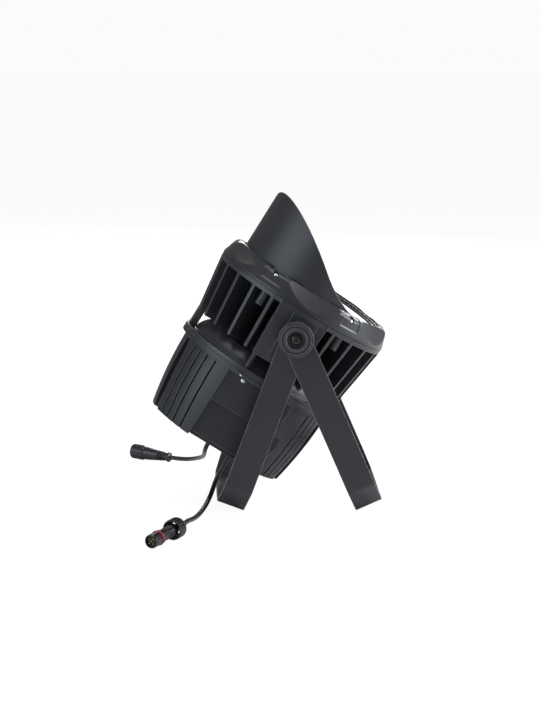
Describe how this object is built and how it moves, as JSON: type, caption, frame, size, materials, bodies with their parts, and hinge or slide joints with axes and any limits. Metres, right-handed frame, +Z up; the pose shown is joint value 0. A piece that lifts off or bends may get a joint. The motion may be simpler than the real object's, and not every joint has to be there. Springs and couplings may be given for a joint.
{
  "type": "par light",
  "caption": "Outdoor par light with a finned round head, a half-cut glare shield and a double floor yoke clamped by two knobs.",
  "frame": {"origin": "on the floor, under the middle of the light without its cords", "axes": "+Z up; +X the way the light aims, tilted up by 58 degrees; Y along the yokes' pivot"},
  "size_m": [0.3341, 0.6016, 0.3984],
  "materials": {
    "black_powder_coat": "fine satin powder coat",
    "shield_powder_coat": "fine satin powder coat",
    "yoke_powder_coat": "satin powder coat on steel sheet",
    "heat_sink_coat": "satin powder coat on cast aluminium",
    "housing_coat": "satin powder coat on cast aluminium",
    "cover_coat": "smooth satin powder coat",
    "frosted_glass": "frosted tempered glass",
    "stainless": "bright stainless steel",
    "black_steel": "blackened steel",
    "aluminium_bare": "turned aluminium",
    "bright_aluminium": "spun and polished",
    "knob_plastic": "moulded nylon",
    "nylon_black": "moulded nylon",
    "gasket_rubber": "silicone sponge",
    "boot_rubber": "moulded rubber",
    "cord_rubber": "rubber sheath",
    "connector_plastic": "glossy moulded nylon",
    "red_seal": "red silicone ring",
    "gold_pin": "gold plated",
    "insert_plastic": "moulded contact carrier",
    "circuit_board": "solder mask on glass fibre",
    "led_board_white": "white solder mask on aluminium core",
    "led_phosphor": "phosphor coating",
    "supply_case": "folded aluminium sheet"
  },
  "bodies": {
    "head": {"bezel_ring": "black_powder_coat", "bezel_screws": "stainless", "board_screws": "stainless", "board_standoffs": "nylon_black", "chassis_plate": "aluminium_bare", "control_board": "circuit_board", "cover_gasket": "gasket_rubber", "driver_cover": "cover_coat", "friction_washers": "nylon_black", "front_glass": "frosted_glass", "glare_shield": "shield_powder_coat", "glass_gasket": "gasket_rubber", "heat_sink": "heat_sink_coat", "input_cord": "cord_rubber", "input_gland": "nylon_black", "input_gland_nut": "nylon_black", "input_plug": "connector_plastic", "input_plug_insert": "insert_plastic", "input_plug_pins": "gold_pin", "input_plug_seal": "red_seal", "input_strain_relief": "boot_rubber", "led_board": "led_board_white", "led_board_screws": "stainless", "led_emitter": "led_phosphor", "output_cord": "cord_rubber", "output_gland": "nylon_black", "output_gland_nut": "nylon_black", "output_socket": "connector_plastic", "output_socket_insert": "insert_plastic", "output_strain_relief": "boot_rubber", "pivot_bushes": "black_steel", "pivot_inserts": "stainless", "power_supply": "supply_case", "rear_housing": "housing_coat", "reflector": "bright_aluminium", "side_screws": "stainless", "standoff_posts": "aluminium_bare", "standoff_screws": "stainless"},
    "inner_yoke": {"inner_yoke": "yoke_powder_coat"},
    "outer_yoke": {"outer_yoke": "yoke_powder_coat"},
    "near_knob": {"near_knob": "knob_plastic", "near_knob_washer": "black_steel", "near_pivot_bolt": "black_steel"},
    "far_knob": {"far_knob": "knob_plastic", "far_knob_washer": "black_steel", "far_pivot_bolt": "black_steel"},
    "union_nut": {"union_nut": "connector_plastic"}
  },
  "joints": [
    {"name": "inner_yoke_swing", "type": "hinge", "parent": "head", "child": "inner_yoke", "pos_m": [0.02995, 0, 0.22483], "axis": [0, 1, 0], "range_deg": [-120, 0]},
    {"name": "outer_yoke_swing", "type": "hinge", "parent": "head", "child": "outer_yoke", "pos_m": [0.02995, 0, 0.22483], "axis": [0, 1, 0], "range_deg": [-120, 40]},
    {"name": "near_knob_turn", "type": "hinge", "parent": "head", "child": "near_knob", "pos_m": [0.02995, -0.1366, 0.22483], "axis": [0, -1, 0], "range_deg": [0, 360]},
    {"name": "far_knob_turn", "type": "hinge", "parent": "head", "child": "far_knob", "pos_m": [0.02995, 0.1366, 0.22483], "axis": [0, 1, 0], "range_deg": [0, 360]},
    {"name": "union_nut_turn", "type": "hinge", "parent": "head", "child": "union_nut", "pos_m": [-0.1223, -0.27028, 0.01353], "axis": [-0.4812, -0.8726, -0.0834], "continuous": true}
  ]
}
